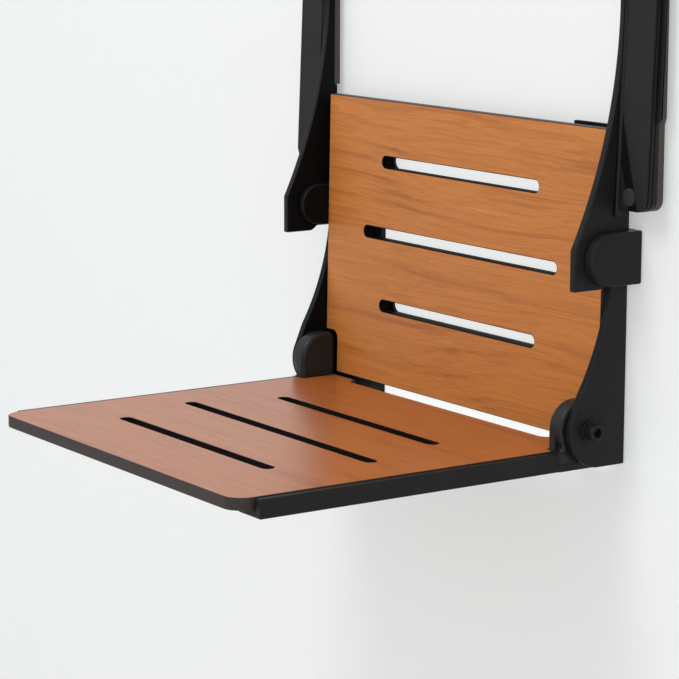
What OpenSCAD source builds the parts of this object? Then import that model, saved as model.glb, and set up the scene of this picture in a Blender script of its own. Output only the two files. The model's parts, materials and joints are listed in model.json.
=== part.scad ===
// Wall-held folding shower seat with a backrest and two flip-up arms.
// X runs to the right as a person faces the wall, Y into the wall, Z up.
// The wall is the plane y = 0, and the origin is the middle of the four wall bolts.
// Distances called "reach" are measured out from the wall; heights called "rise" up from the seat's top.

/* [Seat panel] */
// Width of the seat panel
seat_w = 455; // [400:5:540]
// Reach of the seat panel's front edge
seat_reach = 438; // [380:2:520]
// Thickness of the seat and back panels
panel_t = 12; // [8:0.5:15]
// Radius of the seat's front corners
seat_corner_r = 20; // [8:1:40]
// Radius of the seat's small rear corners, in front of the hinge ears
rear_corner_r = 4; // [1:0.5:6]
// Gap between the seat's rear edge and the plane of the backrest's face
back_gap = 1.5; // [1:0.1:5]
// Width of the cut-out along the seat's rear edge
cutout_w = 350; // [200:5:400]
// Depth of that cut-out
cutout_d = 11.6; // [6:0.2:16]

/* [Drain slots] */
// Width of every slot
slot_w = 12.4; // [8:0.2:18]
// Length of the seat's outer two slots
seat_slot_len = 280; // [150:2:340]
// Length of the seat's middle slot
seat_slot_mid_len = 342; // [150:2:370]
// Distance from the seat's front edge to its first slot
seat_slot_first = 95; // [78:1:110]
// Distance between the seat's slots
seat_slot_pitch = 96; // [60:1:98]
// Length of the back's outer two slots
back_slot_len = 270; // [150:2:320]
// Length of the back's middle slot
back_slot_mid_len = 334; // [150:2:336]
// Rise of the back's middle slot
back_slot_rise = 167; // [120:1:190]
// Distance between the back's slots
back_slot_pitch = 78; // [40:1:90]

/* [Seat frame] */
// Thickness of a rail's upright wall
rail_wall_t = 8.3; // [5:0.1:12]
// How far a rail's upper edge lies below the seat's top
rail_top_set = 1; // [0.4:0.1:4]
// Depth of a rail below the seat's top
rail_drop = 19.7; // [16:0.1:26]
// Width of a rail's leg under the panel, measured from its outer face
rail_leg_w = 38; // [30:1:50]
// Setback of a rail's front end from the panel's front edge
rail_setback = 22; // [21:1:36]
// How far a rail's rear end stops short of the seat's rear edge
rail_rear_set = 2.3; // [1:0.1:4]
// Width of a cross bar
bar_w = 30; // [15:1:32]
// Distance from the panel's front edge to the front cross bar
bar_front_set = 40; // [24:1:50]
// Gap between the rear cross bar and the front of the hinge ears
bar_rear_gap = 3; // [0:1:8]

/* [Seat hinge] */
// Reach of the hinge axis
hinge_reach = 45; // [44:0.5:56]
// Rise of the hinge axis
hinge_rise = 20; // [14:0.5:26]
// Radius of a hinge ear
ear_r = 28; // [20:0.5:32]
// Thickness of a hinge ear
ear_t = 20; // [16:0.5:26]
// Radius of the hinge bolt's shank
bolt_r = 5; // [4:0.5:6]
// Outer radius of the hinge bush
bush_r = 8; // [7:0.5:11]
// Radius of the bolt's head
head_r = 8.5; // [7:0.5:11]
// Height of the bolt's head
head_h = 10.4; // [6:0.2:14]
// Radius of the washer under the head
washer_r = 10.5; // [9:0.5:16]
// Thickness of the washer under the head
washer_t = 3.2; // [1:0.2:5]

/* [Wall brackets] */
// Thickness of a side plate
plate_t = 8; // [5:0.5:12]
// Radius of the lobe at a side plate's foot
lobe_r = 36; // [34:0.5:42]
// Reach of the lobe's centre
lobe_reach = 32; // [28:0.5:36]
// Rise of the lobe's centre
lobe_rise = 18; // [14:0.5:20]
// Radius of the side plate's hollow front edge
sweep_r = 275; // [262:1:400]
// Rise at which the hollow edge turns upright
sweep_rise = 194; // [186:1:206]
// Reach of the side plate's upright upper edge
plate_reach = 18; // [14:0.5:22]
// Rise of the side plates' and flanges' top
bracket_rise = 300; // [280:1:306]
// Thickness of a wall flange
flange_t = 6; // [4:0.5:7]
// Distance from the middle to a wall flange's inner edge
flange_in = 162; // [140:1:166]
// Distance from the middle to the inner edge of the tab on top of the right-hand flange
tab_in = 166; // [140:1:220]
// Height of that tab
tab_h = 13; // [8:0.5:20]

/* [Wall bolts] */
// Distance between the bolts, sideways
bolts_w = 400; // [390:1:410]
// Distance between the bolts, up and down
bolts_h = 200; // [120:2:220]
// Radius of a bolt's hole
bolt_hole_r = 4.5; // [3:0.25:6]
// Rise of the bolts' middle
bolts_rise = 150; // [130:1:170]

/* [Backrest] */
// Rise of the back panel's lower edge
back_low = 3; // [1:0.5:8]
// Height of the back panel
back_h = 308; // [298:1:330]
// Thickness of a batten at the back panel's upper edge
batten_top_t = 1.85; // [1:0.05:4]
// Lean of the back panel towards the wall, in degrees
back_lean = 1.04; // [0:0.02:1.2]
// Gap round a hinge ear where the back panel is notched for it
ear_notch_gap = 0.6; // [0.4:0.1:4]
// Width of the backing tray
tray_w = 424; // [416:2:428]
// Thickness of the backing tray
tray_t = 3; // [1.5:0.5:3]
// How much wider than the panel's slots the tray's are, on each side
tray_slot_gap = 2; // [0:0.5:4]
// Width of a batten between tray and panel
batten_w = 14; // [6:1:14]

/* [Arm pivot] */
// Reach of the arm's axis
pivot_reach = 36.3; // [36:0.1:40]
// Rise of the arm's axis
pivot_rise = 188.7; // [182:0.1:196]
// Radius of the pivot pin
pin_r = 6; // [4:0.5:7]
// Outer radius of the arm's bush
arm_bush_r = 8; // [7.5:0.5:11]
// Radius of the round nose of a pivot housing
housing_r = 26; // [20:0.5:28]
// Thickness of a pivot housing's cheek
cheek_t = 11.4; // [10:0.2:16]

/* [Arms] */
// Thickness of an arm's side web
web_t = 7.8; // [5:0.2:10]
// Reach of the web's front edge beside the axis
web_reach = 73.6; // [64:0.2:80]
// Radius of the web's hollow front edge
web_sweep_r = 535; // [505:5:555]
// Rise at which the web's front edge runs out into the arm
web_run_out = 436; // [430:1:440]
// Rise of an arm's lower end
arm_low = 236; // [230:1:244]
// Rise of an arm's tip
arm_top = 530; // [480:1:540]
// Reach of the arm's face at its lower end
arm_face_reach = 25.8; // [25:0.1:28]
// Taper of the arm towards its tip, in degrees
arm_taper = 2.2; // [1:0.02:2.3]
// Width of the arm's face plate, beside the web
arm_plate_w = 44.5; // [30:0.5:60]
// Thickness of the arm's face plate
arm_plate_t = 4; // [2:0.5:4]
// How far the arm's upper part stands out beyond its lower part
arm_step_w = 4; // [1:0.5:6]
// Rise of that step
arm_step_rise = 320; // [290:1:360]
// Thickness of the pad on the arm's back
pad_t = 6.7; // [3:0.1:7]
// Radius of the arm's outer corners
arm_corner_r = 12; // [4:0.5:16]
// Radius of the round cap near the arm's lower end
cap_r = 8.5; // [4:0.5:10]
// Height of the cap
cap_h = 2.5; // [1:0.5:4]

/* [Fits] */
// Gap between parts that are fixed side by side
snug = 0.3; // [0.1:0.1:0.5]
// Running gap between parts that turn past each other
run_gap = 0.4; // [0.3:0.1:1]
// Radial clearance of a pin in its bush
pin_clear = 0.05; // [0.02:0.01:0.1]
// Gap between hinge ear and side plate
hinge_gap = 1.5; // [1:0.1:3]
// Gap between side plate and arm web
arm_gap = 0.8; // [0.7:0.1:2]

/* [Hidden] */
$fn = 96;
over = 1;
seat_z = -bolts_rise;
rail_out = seat_w / 2 + snug + rail_wall_t;
ear_in = rail_out - ear_t;
plate_in = rail_out + hinge_gap;
plate_out = plate_in + plate_t;
web_in = plate_out + arm_gap;
web_out = web_in + web_t;
cheek_in = web_out + run_gap;
cheek_out = cheek_in + cheek_t;
arm_out = web_out + arm_plate_w;
back_lean_reach = (back_low + back_h) * tan(back_lean);
back_reach = flange_t + tray_t + batten_top_t + panel_t / cos(back_lean) + back_lean_reach;
seat_rear_reach = back_reach + back_gap;
rail_rear_reach = seat_rear_reach + rail_rear_set;
ear_front_reach = hinge_reach + ear_r;
ear_back_reach = seat_rear_reach - 0.6;
bar_rear_reach = ear_front_reach + bar_rear_gap;
bracket_low = lobe_rise - lobe_r;
back_front_y = -back_reach;
tray_y = -flange_t - tray_t;
pad_y = -3.1;
core_y = pad_y - pad_t;
stop_top = -panel_t / 2;
arm_web_clear = pivot_reach - flange_t - run_gap;
web_foot = pivot_rise - arm_web_clear;
screw_r = 2.5;
screw_head_r = 5;
screw_len = 8;
tray_screw_rises = [100, 200];
seat_screw_sets = [60, 200, 330];

wood = "peru";
metal = [0.16, 0.16, 0.17];
steel = "silver";
pad_black = [0.1, 0.1, 0.1];
bush_white = "ivory";

// Everything is drawn with z = 0 at the seat's top and moved to the origin at the wall bolts.
module from_seat() translate([0, 0, seat_z]) children();

// Draws the right-hand piece, or its mirror image on the left.
module on_side(side) mirror([side == "left" ? 1 : 0, 0, 0]) children();

// Extrudes a (y, z) outline along X from x0 to x1.
module across(x0, x1) translate([x0, 0, 0]) rotate([90, 0, 90]) linear_extrude(x1 - x0) children();

// A round bar along X on the axis (reach, rise).
module rod(x0, x1, reach, rise, r) translate([x0, -reach, rise]) rotate([0, 90, 0])
  cylinder(h = x1 - x0, r = r);

// A slot with round ends, centred, along X.
module slot2d(len, w) {
  square([len - w, w], center = true);
  for (s = [-1, 1]) translate([s * (len - w) / 2, 0]) circle(d = w);
}

// Three slots, the middle one of its own length.
module slots2d(len, mid_len, pitch, w) {
  for (i = [-1, 0, 1]) translate([0, i * pitch]) slot2d(i == 0 ? mid_len : len, w);
}

// ---------- seat ----------

// A bar of width w that ends at y1 in two round corners of radius r.
module round_end2d(w, y0, y1, r) {
  dir = y1 > y0 ? 1 : -1;
  translate([-w / 2, min(y0, y1 - dir * r)]) square([w, abs(y1 - dir * r - y0)]);
  translate([-w / 2 + r, min(y1 - dir * r, y1)]) square([w - 2 * r, r]);
  for (s = [-1, 1]) translate([s * (w / 2 - r), y1 - dir * r]) circle(r);
}

module seat_outline2d() {
  middle = -seat_reach / 2;
  round_end2d(seat_w, middle, -seat_reach, seat_corner_r);
  round_end2d(seat_w, middle, -ear_front_reach - snug, rear_corner_r);
  tongue_w = 2 * (ear_in - snug);
  translate([-tongue_w / 2, -ear_front_reach - 3 * rear_corner_r])
    square([tongue_w, ear_front_reach + 3 * rear_corner_r - seat_rear_reach]);
}

module rear_cutout2d() {
  translate([-cutout_w / 2 + cutout_d, -seat_rear_reach - cutout_d])
    square([cutout_w - 2 * cutout_d, cutout_d + over]);
  for (s = [-1, 1]) translate([s * (cutout_w / 2 - cutout_d), -seat_rear_reach]) circle(cutout_d);
}

module seat_panel() color(wood) from_seat() difference() {
  translate([0, 0, -panel_t]) linear_extrude(panel_t) difference() {
    seat_outline2d();
    translate([0, -seat_reach + seat_slot_first + seat_slot_pitch])
      slots2d(seat_slot_len, seat_slot_mid_len, seat_slot_pitch, slot_w);
    rear_cutout2d();
  }
  for (side = ["left", "right"], i = [0 : 2]) on_side(side) seat_screw_body(i);
}

// A rail is an angle: its wall covers the panel's edge and its leg lies under the panel.
module seat_rail(side) color(metal) from_seat() on_side(side) difference() {
  front = seat_reach - rail_setback;
  union() {
    translate([seat_w / 2 + snug, -front, -rail_drop])
      cube([rail_wall_t, front - ear_front_reach, rail_drop - rail_top_set]);
    translate([rail_out - rail_leg_w, -front, -rail_drop])
      cube([rail_leg_w, front - rail_rear_reach, rail_drop - panel_t]);
  }
  for (i = [0 : 2]) seat_screw_body(i);
}

module cross_bar(y0) color(metal) from_seat() {
  half = rail_out - rail_leg_w;
  translate([-half, y0, -rail_drop]) cube([2 * half, bar_w, rail_drop - panel_t]);
}

// A countersunk screw up through the rail's leg into the panel.
module seat_screw_body(i) {
  translate([rail_out - 0.65 * rail_leg_w, -seat_reach + seat_screw_sets[i], -rail_drop]) {
    cylinder(h = screw_head_r - screw_r, r1 = screw_head_r, r2 = screw_r);
    cylinder(h = rail_drop - panel_t + screw_len, r = screw_r);
  }
}

module seat_screw(side, i) color(steel) from_seat() on_side(side) seat_screw_body(i);

// The ear stands on the rail's leg, round towards the front and square at the back.
module hinge_ear(side) color(metal) from_seat() on_side(side) difference() {
  across(ear_in, rail_out) {
    intersection() {
      translate([-hinge_reach, hinge_rise]) circle(ear_r);
      translate([-ear_front_reach, hinge_rise]) square([ear_front_reach - ear_back_reach, ear_r]);
    }
    translate([-ear_front_reach, -panel_t])
      square([ear_front_reach - rail_rear_reach, panel_t + hinge_rise]);
    translate([-hinge_reach, 0]) square([hinge_reach - ear_back_reach, hinge_rise + ear_r]);
  }
  rod(ear_in + 3, rail_out + over, hinge_reach, hinge_rise, bush_r);
}

module hinge_bush(side) color(bush_white) from_seat() on_side(side) difference() {
  rod(ear_in + 3, rail_out, hinge_reach, hinge_rise, bush_r);
  rod(ear_in, rail_out + over, hinge_reach, hinge_rise, bolt_r + pin_clear);
}

// ---------- wall brackets ----------

// Points of an arc round (cy, cz), from angle a0 to a1 in n steps.
function arc(cy, cz, r, a0, a1, n) = [
  for (i = [0 : n]) let (a = a0 + (a1 - a0) * i / n) [cy + r * cos(a), cz + r * sin(a)]
];

// Lobe at the foot, hollow front edge, upright top and a round boss for the arm's pin.
module side_plate2d() {
  lobe_tilt = 26;
  sweep_angle = 30;
  polygon(concat(
    [[0, bracket_low], [0, bracket_rise], [-plate_reach, bracket_rise]],
    arc(-plate_reach - sweep_r, sweep_rise, sweep_r, 0, -sweep_angle, 24),
    arc(-lobe_reach, lobe_rise, lobe_r, 180 - lobe_tilt, 270, 40)
  ));
  translate([-pivot_reach, pivot_rise]) circle(housing_r - 4);
  translate([-pivot_reach, pivot_rise - housing_r + 4])
    square([pivot_reach - plate_reach + over, 2 * housing_r - 8]);
}

module side_plate(side) color(metal) from_seat() on_side(side) difference() {
  across(plate_in, plate_out) side_plate2d();
  rod(plate_in - over, plate_out + over, hinge_reach, hinge_rise, bolt_r);
  rod(plate_in - over, plate_out + over, pivot_reach, pivot_rise, pin_r);
}

module wall_flange(side) color(metal) from_seat() on_side(side) difference() {
  translate([flange_in, -flange_t, bracket_low])
    cube([plate_in - flange_in, flange_t, bracket_rise - bracket_low]);
  for (s = [-1, 1]) translate([bolts_w / 2, over, bolts_rise + s * bolts_h / 2])
    rotate([90, 0, 0]) cylinder(h = flange_t + 2 * over, r = bolt_hole_r);
  for (i = [0, 1]) tray_screw_body(i);
}

module top_tab() color(metal) from_seat() {
  translate([tab_in, -flange_t, bracket_rise]) cube([plate_in - tab_in, flange_t, tab_h]);
}

module hinge_bolt(side) color(metal) from_seat() on_side(side) difference() {
  seat_face = plate_out + washer_t;
  union() {
    rod(ear_in + 4, seat_face, hinge_reach, hinge_rise, bolt_r);
    rod(seat_face, seat_face + head_h, hinge_reach, hinge_rise, head_r);
  }
  translate([seat_face + 0.45 * head_h, -hinge_reach, hinge_rise]) rotate([0, 90, 0])
    cylinder(h = head_h, r = 0.54 * head_r, $fn = 6);
}

module ring(x0, x1, reach, rise, r, hole_r) difference() {
  rod(x0, x1, reach, rise, r);
  rod(x0 - over, x1 + over, reach, rise, hole_r);
}

module head_washer(side) color(metal) from_seat() on_side(side)
  ring(plate_out, plate_out + washer_t, hinge_reach, hinge_rise, washer_r, bolt_r);

module thrust_washer(side) color(bush_white) from_seat() on_side(side)
  ring(rail_out + run_gap, plate_in, hinge_reach, hinge_rise, washer_r, bolt_r);

// The block that a rail's rear end rests against when the seat is down.
module seat_stop(side) color(metal) from_seat() on_side(side)
  translate([ear_in + 2, -rail_rear_reach + run_gap, bracket_low])
    cube([plate_in - ear_in - 2, rail_rear_reach - run_gap - flange_t, stop_top - bracket_low]);

// ---------- backrest ----------

module back_panel() color(wood) from_seat() {
  half = plate_in - 2 * snug;
  notch_in = ear_in - ear_notch_gap;
  notch_top = hinge_rise + ear_r + ear_notch_gap;
  translate([0, back_front_y, 0]) rotate([-back_lean, 0, 0])
    translate([0, panel_t, 0]) rotate([90, 0, 0]) linear_extrude(panel_t) difference() {
      translate([-half, back_low]) square([2 * half, back_h]);
      translate([0, back_slot_rise]) slots2d(back_slot_len, back_slot_mid_len, back_slot_pitch, slot_w);
      for (s = [-1, 1]) translate([s > 0 ? notch_in : -half - over, -over])
        square([half - notch_in + over, notch_top + over]);
    }
}

// A thin tray with the same slots, screwed to both flanges.
module back_tray() color(metal) from_seat() difference() {
  translate([0, tray_y + tray_t, 0]) rotate([90, 0, 0]) linear_extrude(tray_t) difference() {
    translate([-tray_w / 2, back_low + 3]) square([tray_w, back_h - 10]);
    translate([0, back_slot_rise])
      slots2d(back_slot_len, back_slot_mid_len, back_slot_pitch, slot_w + 2 * tray_slot_gap);
    for (x = [-1, 1], z = [-1, 1]) translate([x * bolts_w / 2, bolts_rise + z * bolts_h / 2])
      circle(2.2 * bolt_hole_r);
  }
  for (side = ["left", "right"], i = [0, 1]) on_side(side) tray_screw_body(i);
}

// Where the back panel's rear face is at a given rise.
function back_rear_y(rise) = back_front_y + panel_t / cos(back_lean) + rise * tan(back_lean);

module back_batten(side) color(metal) from_seat() on_side(side) {
  low = back_low + 8;
  high = back_low + back_h - 12;
  across(flange_in + 10, flange_in + 10 + batten_w) polygon([
    [tray_y, low], [tray_y, high], [back_rear_y(high), high], [back_rear_y(low), low]
  ]);
}

module tray_screw_body(i) {
  translate([bolts_w / 2, 0, tray_screw_rises[i]]) rotate([90, 0, 0]) {
    cylinder(h = flange_t + tray_t, r = screw_r);
    translate([0, 0, flange_t + tray_t]) cylinder(h = 2, r = screw_head_r);
  }
}

module tray_screw(side, i) color(steel) from_seat() on_side(side) tray_screw_body(i);

// ---------- arm pivots ----------

// A D-shaped cheek outside the arm's web, joined to the wall by a foot behind the web.
module pivot_housing(side) color(metal) from_seat() on_side(side) difference() {
  union() {
    across(cheek_in, cheek_out) {
      translate([-pivot_reach, pivot_rise]) circle(housing_r);
      translate([-pivot_reach, pivot_rise - housing_r]) square([pivot_reach, 2 * housing_r]);
    }
    translate([plate_out, -flange_t, pivot_rise - housing_r])
      cube([cheek_in - plate_out, flange_t, 2 * housing_r]);
  }
  rod(cheek_in - over, cheek_in + 0.6 * cheek_t, pivot_reach, pivot_rise, pin_r);
}

module pivot_pin(side) color(steel) from_seat() on_side(side)
  rod(plate_in, cheek_in + 0.6 * cheek_t, pivot_reach, pivot_rise, pin_r);

// ---------- arms ----------

// Reach of the arm's tapering face at a given rise.
function arm_face_y(rise) = -arm_face_reach + (rise - arm_low) * tan(arm_taper);

// The cut under the web's foot: flat, then an S-shaped step up towards the wall.
module web_step2d() {
  step_r = 8;
  low_y = -pivot_reach - 6.5;
  high_y = low_y + 13;
  mid_y = (low_y + high_y) / 2;
  step_h = 6.7;
  translate([high_y, 0]) square([pivot_reach, web_foot + step_h]);
  difference() {
    translate([low_y, 0]) square([mid_y - low_y, web_foot + step_h / 2]);
    translate([low_y, web_foot + step_r]) circle(step_r);
  }
  intersection() {
    translate([mid_y, 0]) square([high_y - mid_y, web_foot + step_h]);
    union() {
      translate([high_y, web_foot + step_h - step_r]) circle(step_r);
      translate([mid_y, 0]) square([high_y - mid_y, web_foot + step_h - step_r]);
    }
  }
}

module arm_web2d() {
  edge_y = -pivot_reach + arm_web_clear - 0.2;
  difference() {
    translate([-web_reach, web_foot]) square([web_reach, web_run_out - web_foot]);
    translate([arm_face_y(web_run_out) - web_sweep_r, web_run_out]) circle(web_sweep_r, $fn = 720);
    web_step2d();
    translate([edge_y, pivot_rise]) square([pivot_reach, web_run_out - pivot_rise + over]);
    translate([core_y, arm_step_rise]) square([pivot_reach, web_run_out - arm_step_rise + over]);
    difference() {
      translate([-pivot_reach, web_foot]) square([pivot_reach, pivot_rise - web_foot]);
      translate([-pivot_reach, pivot_rise]) circle(arm_web_clear - 0.2);
      translate([-pivot_reach, pivot_rise - arm_web_clear]) square([arm_web_clear / 2, arm_web_clear]);
    }
  }
  polygon([
    [arm_face_y(web_run_out), web_run_out], [arm_face_y(arm_top), arm_top],
    [core_y, arm_top], [core_y, web_run_out]
  ]);
}

// Takes its children to the arm's tapering face: x as before, y = 0 on the face, z = 0 at its lower end.
module on_arm_face() translate([0, -arm_face_reach, arm_low]) rotate([-arm_taper, 0, 0]) children();

module arm_web(side) color(metal) from_seat() on_side(side) {
  bead_r = 3.5;
  difference() {
    across(web_in, web_out) arm_web2d();
    rod(web_in - over, web_out + over, pivot_reach, pivot_rise, arm_bush_r);
  }
  on_arm_face() intersection() {
    translate([web_out, 0, -7]) cylinder(h = 0.6 * (arm_top - arm_low), r = bead_r);
    translate([web_out, -bead_r, -7]) cube([bead_r, bead_r, arm_top]);
  }
}

// The arm's outline seen from the front, from x0 to x1, with round outer corners.
module arm_face2d(x0, x1, z0, z1) {
  r = arm_corner_r;
  translate([x0, z0]) square([x1 - x0 - r, z1 - z0]);
  translate([x0, z0 + r]) square([x1 - x0, z1 - z0 - 2 * r]);
  for (z = [z0 + r, z1 - r]) translate([x1 - r, z]) circle(r);
}

module arm_plate(side) color(metal) from_seat() on_side(side) {
  on_arm_face() translate([0, arm_plate_t, 0]) rotate([90, 0, 0]) linear_extrude(arm_plate_t)
    arm_face2d(web_out, web_out + arm_plate_w, 0, (arm_top - arm_low) / cos(arm_taper));
}

// The arm's outline from the front: its upper part starts at x1 and stands out further than its lower part.
module arm_steps2d(x0, x1) {
  arm_face2d(x0, arm_out, arm_low, arm_top);
  arm_face2d(x1, arm_out + arm_step_w, arm_step_rise, arm_top);
}

module arm_core(side) color(metal) from_seat() on_side(side) intersection() {
  translate([0, core_y, 0]) rotate([90, 0, 0]) linear_extrude(arm_face_reach) arm_steps2d(web_out, web_out);
  on_arm_face() translate([0, arm_plate_t, -arm_low]) cube([2 * arm_out, arm_face_reach, 2 * arm_top]);
}

// The pad covers the arm's back, and its upper part covers the web's back too.
module arm_pad(side) color(pad_black) from_seat() on_side(side)
  translate([0, pad_y, 0]) rotate([90, 0, 0]) linear_extrude(pad_t) arm_steps2d(web_out, web_in);

module arm_cap(side) color(pad_black) from_seat() on_side(side)
  on_arm_face() translate([web_out + 0.45 * arm_plate_w, 0, 13]) rotate([90, 0, 0])
    cylinder(h = cap_h, r = cap_r);

module arm_bush(side) color(bush_white) from_seat() on_side(side)
  ring(web_in, web_out, pivot_reach, pivot_rise, arm_bush_r, pin_r + pin_clear);

module arm_washer(side) color(bush_white) from_seat() on_side(side)
  ring(web_in - arm_gap + 0.3, web_in, pivot_reach, pivot_rise, arm_bush_r + 3, pin_r + pin_clear);

seat_panel();
cross_bar(-seat_reach + bar_front_set);  // cross_bar_front
cross_bar(-bar_rear_reach - bar_w);  // cross_bar_rear
back_panel();
back_tray();
top_tab();
for (side = ["left", "right"]) {
  seat_rail(side);
  hinge_ear(side);
  hinge_bush(side);
  for (i = [0 : 2]) seat_screw(side, i);
  side_plate(side);
  wall_flange(side);
  hinge_bolt(side);
  head_washer(side);
  thrust_washer(side);
  seat_stop(side);
  back_batten(side);
  for (i = [0, 1]) tray_screw(side, i);
  pivot_housing(side);
  pivot_pin(side);
  arm_web(side);
  arm_plate(side);
  arm_core(side);
  arm_pad(side);
  arm_cap(side);
  arm_bush(side);
  arm_washer(side);
}
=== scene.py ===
import json
import math
import bpy
import bmesh
from mathutils import Matrix, Vector


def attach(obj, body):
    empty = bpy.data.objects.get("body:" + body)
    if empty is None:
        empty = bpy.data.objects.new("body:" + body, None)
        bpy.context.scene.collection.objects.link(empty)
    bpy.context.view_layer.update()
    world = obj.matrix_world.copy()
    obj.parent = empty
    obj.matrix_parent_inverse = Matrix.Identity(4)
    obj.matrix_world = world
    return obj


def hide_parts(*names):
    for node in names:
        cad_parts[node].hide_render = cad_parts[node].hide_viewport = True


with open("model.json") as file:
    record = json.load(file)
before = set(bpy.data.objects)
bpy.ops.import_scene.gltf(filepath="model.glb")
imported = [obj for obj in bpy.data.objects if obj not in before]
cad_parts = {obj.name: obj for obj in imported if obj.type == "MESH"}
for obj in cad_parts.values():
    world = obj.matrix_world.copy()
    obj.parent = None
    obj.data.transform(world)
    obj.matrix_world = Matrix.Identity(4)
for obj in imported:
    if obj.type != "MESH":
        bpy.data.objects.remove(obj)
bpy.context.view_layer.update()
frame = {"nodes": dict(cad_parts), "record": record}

mm = 0.001
seatZ = -150.0  # height of the seat's top in the row frame, in mm
print("frame loaded:", len(frame["nodes"]), "nodes")

# shader groups

def newGroup(name, inputs, outputs):
    group = bpy.data.node_groups.new(name, "ShaderNodeTree")
    for label, kind, value in inputs:
        socket = group.interface.new_socket(name=label, in_out="INPUT", socket_type=kind)
        if value is not None:
            socket.default_value = value
    for label, kind in outputs:
        group.interface.new_socket(name=label, in_out="OUTPUT", socket_type=kind)
    return group, group.nodes.new("NodeGroupInput"), group.nodes.new("NodeGroupOutput")


def addNode(tree, kind, links=(), **values):
    node = tree.nodes.new(kind)
    for key, value in values.items():
        setattr(node, key, value)
    for socket, source in links:
        if isinstance(source, bpy.types.NodeSocket):
            tree.links.new(source, node.inputs[socket])
        else:
            node.inputs[socket].default_value = source
    return node


def addRamp(tree, source, stops):
    ramp = addNode(tree, "ShaderNodeValToRGB", [("Fac", source)])
    while len(ramp.color_ramp.elements) < len(stops):
        ramp.color_ramp.elements.new(0.5)
    for element, (place, color) in zip(ramp.color_ramp.elements, stops):
        element.position = place
        element.color = (*color, 1.0)
    return ramp


def buildGrainGroup():
    # long fibres along X, slow waves and short pores, for boards that lie in XY or XZ
    group, inp, out = newGroup(
        "woodGrain",
        [("Vector", "NodeSocketVector", None), ("Wave", "NodeSocketFloat", 0.05),
         ("Seed", "NodeSocketFloat", 0.0)],
        [("Tone", "NodeSocketFloat"), ("Streak", "NodeSocketFloat"), ("Pore", "NodeSocketFloat")],
    )
    offset = addNode(group, "ShaderNodeCombineXYZ", [("X", inp.outputs["Seed"]), ("Y", inp.outputs["Seed"]),
                                                     ("Z", inp.outputs["Seed"])])
    moved = addNode(group, "ShaderNodeVectorMath", [(0, inp.outputs["Vector"]), (1, offset.outputs[0])],
                    operation="ADD")
    slow = addNode(group, "ShaderNodeMapping", [("Vector", moved.outputs[0]), ("Scale", (2.2, 7.0, 7.0))])
    waves = addNode(group, "ShaderNodeTexNoise", [("Vector", slow.outputs[0]), ("Scale", 1.0),
                                                  ("Detail", 2.0), ("Roughness", 0.45)])
    centred = addNode(group, "ShaderNodeMath", [(0, waves.outputs["Fac"]), (1, 0.5)], operation="SUBTRACT")
    bend = addNode(group, "ShaderNodeMath", [(0, centred.outputs[0]), (1, inp.outputs["Wave"])],
                   operation="MULTIPLY")
    shift = addNode(group, "ShaderNodeCombineXYZ", [("Y", bend.outputs[0]), ("Z", bend.outputs[0])])
    bent = addNode(group, "ShaderNodeVectorMath", [(0, moved.outputs[0]), (1, shift.outputs[0])],
                   operation="ADD")
    rings = addNode(group, "ShaderNodeMapping", [("Vector", bent.outputs[0]),
                                                 ("Scale", (0.7, 110.0, 110.0))])
    tone = addNode(group, "ShaderNodeTexNoise", [("Vector", rings.outputs[0]), ("Scale", 1.0),
                                                 ("Detail", 4.0), ("Roughness", 0.55)])
    fine = addNode(group, "ShaderNodeMapping", [("Vector", bent.outputs[0]),
                                                ("Scale", (9.0, 620.0, 620.0))])
    streak = addNode(group, "ShaderNodeTexNoise", [("Vector", fine.outputs[0]), ("Scale", 1.0),
                                                   ("Detail", 3.0), ("Roughness", 0.6)])
    short = addNode(group, "ShaderNodeMapping", [("Vector", bent.outputs[0]),
                                                 ("Scale", (70.0, 1500.0, 1500.0))])
    pore = addNode(group, "ShaderNodeTexNoise", [("Vector", short.outputs[0]), ("Scale", 1.0),
                                                 ("Detail", 1.0)])
    group.links.new(tone.outputs["Fac"], out.inputs["Tone"])
    group.links.new(streak.outputs["Fac"], out.inputs["Streak"])
    group.links.new(pore.outputs["Fac"], out.inputs["Pore"])
    return group


def buildSpeckGroup():
    # the fine orange-peel and dust of a coated or moulded surface
    group, inp, out = newGroup(
        "surfaceSpeck",
        [("Vector", "NodeSocketVector", None), ("Size", "NodeSocketFloat", 900.0)],
        [("Peel", "NodeSocketFloat"), ("Cloud", "NodeSocketFloat")],
    )
    peel = addNode(group, "ShaderNodeTexNoise", [("Vector", inp.outputs["Vector"]),
                                                 ("Scale", inp.outputs["Size"]), ("Detail", 2.0),
                                                 ("Roughness", 0.6)])
    cloud = addNode(group, "ShaderNodeTexNoise", [("Vector", inp.outputs["Vector"]), ("Scale", 14.0),
                                                  ("Detail", 4.0), ("Roughness", 0.55)])
    group.links.new(peel.outputs["Fac"], out.inputs["Peel"])
    group.links.new(cloud.outputs["Fac"], out.inputs["Cloud"])
    return group


grainGroup = buildGrainGroup()
speckGroup = buildSpeckGroup()


def newMaterial(name):
    material = bpy.data.materials.new(name)
    material.use_nodes = True
    tree = material.node_tree
    tree.nodes.clear()
    shader = tree.nodes.new("ShaderNodeBsdfPrincipled")
    output = tree.nodes.new("ShaderNodeOutputMaterial")
    tree.links.new(shader.outputs[0], output.inputs["Surface"])
    coords = tree.nodes.new("ShaderNodeTexCoord")
    return material, tree, shader, coords.outputs["Object"]


# painted light and shade: the seat and back boards are one laminate, toned apart to how light falls on
# each, darker on the seat and lighter on the back
backWoodLitFinish = {"dark": (0.340, 0.110, 0.023), "middle": (0.470, 0.168, 0.036),
              "light": (0.585, 0.240, 0.062),
              "roughness": 0.40, "gloss": 0.30, "bump": 0.05, "wave": 0.045}
seatWoodShadedFinish = {"dark": (0.290, 0.078, 0.017), "middle": (0.400, 0.120, 0.026),
              "light": (0.500, 0.175, 0.045),
              "roughness": 0.30, "gloss": 0.75, "bump": 0.04, "wave": 0.045}


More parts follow.
